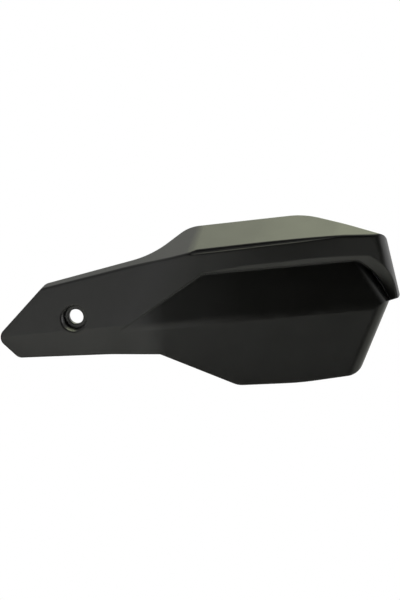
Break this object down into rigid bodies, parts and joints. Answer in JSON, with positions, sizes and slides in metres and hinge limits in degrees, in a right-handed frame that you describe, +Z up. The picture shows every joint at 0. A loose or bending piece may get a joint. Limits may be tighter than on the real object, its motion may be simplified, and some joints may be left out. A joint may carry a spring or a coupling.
{
  "type": "motorcycle hand guard",
  "caption": "Moulded plastic motorcycle hand guard: a tapered arm with a sunk bar-end bolt seat widens into a creased shield under an overhanging brow, with a ribbed open back.",
  "frame": {"origin": "on the axis of the bar-end bolt hole, in the middle of the wall that the bolt clamps", "axes": "+X along the guard from the bar end inwards, +Z up, the front faces -Y"},
  "size_m": [0.2894, 0.055, 0.1231],
  "materials": {
    "black_plastic": "satin black with a fine moulded grain"
  },
  "bodies": {
    "root": {"guard_shell": "black_plastic"}
  },
  "joints": []
}
